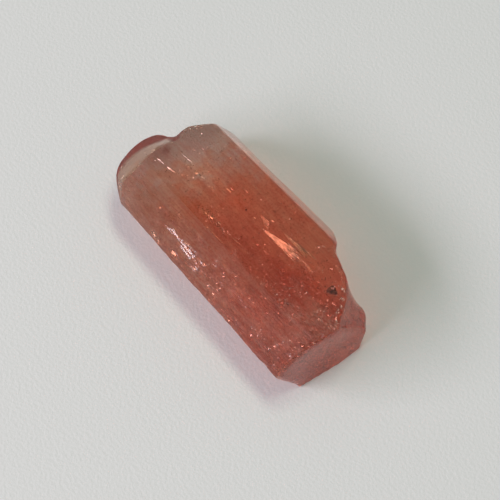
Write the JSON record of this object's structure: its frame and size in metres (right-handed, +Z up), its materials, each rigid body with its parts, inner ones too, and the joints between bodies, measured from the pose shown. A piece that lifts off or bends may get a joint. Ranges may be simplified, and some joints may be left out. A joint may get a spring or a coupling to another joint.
{
  "type": "topaz crystal",
  "caption": "Rough pinkish-orange topaz crystal: a stubby lozenge prism lying on a prism face, with a broken lobed head, a flat cleaved foot and a chipped corner.",
  "frame": {"origin": "middle of the crystal's bounding box, on the face that it rests on", "axes": "+X along the crystal's long axis from the broken head to the cleaved foot, +Y towards the leaning side with the chipped corner, +Z up from the resting face"},
  "size_m": [0.028, 0.0148, 0.0075],
  "materials": {
    "topaz": "natural crystal faces, clear pinkish-orange stone with inclusions, IOR about 1.62"
  },
  "bodies": {
    "root": {"topaz_crystal": "topaz"}
  },
  "joints": []
}
